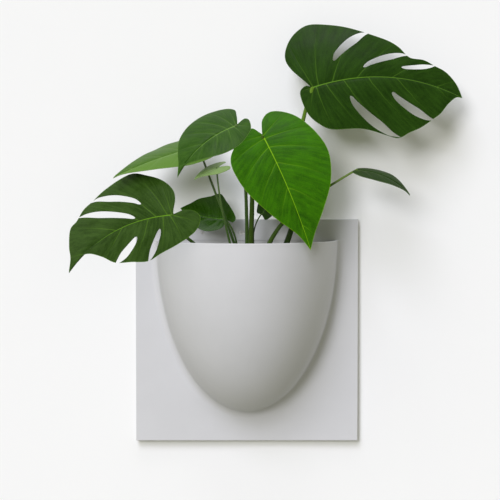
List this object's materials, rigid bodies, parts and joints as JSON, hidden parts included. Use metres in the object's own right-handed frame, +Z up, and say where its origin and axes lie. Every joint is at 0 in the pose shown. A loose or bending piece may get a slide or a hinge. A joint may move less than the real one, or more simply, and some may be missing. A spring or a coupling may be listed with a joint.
{
  "type": "wall planter",
  "caption": "Square wall panel with a deep half-round pocket moulded in it, holding a leafy plant in a lift-out nursery pot.",
  "frame": {"origin": "on the wall, behind the centre of the square panel", "axes": "+Z up, +Y into the wall, +X to the viewer's right"},
  "size_m": [0.5127, 0.1502, 0.5593],
  "materials": {
    "planter_plastic": "satin moulded plastic, very fine grain",
    "plate_plastic": "plain moulded plastic",
    "foam_rubber": "closed-cell foam",
    "screw_steel": "zinc plated",
    "pad_rubber": "matt",
    "fired_clay": "rough fired clay",
    "pot_plastic": "thin black plastic",
    "soil": "moist, crumbly",
    "leaf_dark": "waxy",
    "leaf_bright": "waxy, lit through",
    "leaf_mid": "waxy",
    "leaf_gloss": "glossy",
    "leaf_dark_small": "waxy",
    "leaf_pale": "waxy, pale",
    "leaf_pale_small": "matt, pale",
    "leaf_shade": "waxy",
    "stalk_green": "smooth, slightly glossy",
    "stalk_thick": "smooth",
    "stalk_sheathed": "smooth"
  },
  "bodies": {
    "planter": {"front_shell": "planter_plastic", "back_plate": "plate_plastic", "pocket_gasket": "foam_rubber", "cover_screws": "screw_steel", "wall_pads": "pad_rubber", "clay_pebbles": "fired_clay"},
    "plant": {"grow_pot": "pot_plastic", "potting_soil": "soil", "petiole_left_split": "stalk_green", "petiole_right_split": "stalk_thick", "petiole_front_heart": "stalk_green", "petiole_mid_heart": "stalk_green", "petiole_small_gloss": "stalk_green", "petiole_small_right": "stalk_sheathed", "petiole_pale_back": "stalk_green", "petiole_small_pale": "stalk_green", "petiole_small_behind": "stalk_green", "blade_left_split": "leaf_dark", "blade_right_split": "leaf_dark", "blade_front_heart": "leaf_bright", "blade_mid_heart": "leaf_mid", "blade_small_gloss": "leaf_gloss", "blade_small_right": "leaf_dark_small", "blade_pale_back": "leaf_pale", "blade_small_pale": "leaf_pale_small", "blade_small_behind": "leaf_shade"}
  },
  "joints": [
    {"name": "plant_lift", "type": "slide", "parent": "planter", "child": "plant", "axis": [0, 0, 1], "range_m": [0, 0.18]}
  ]
}
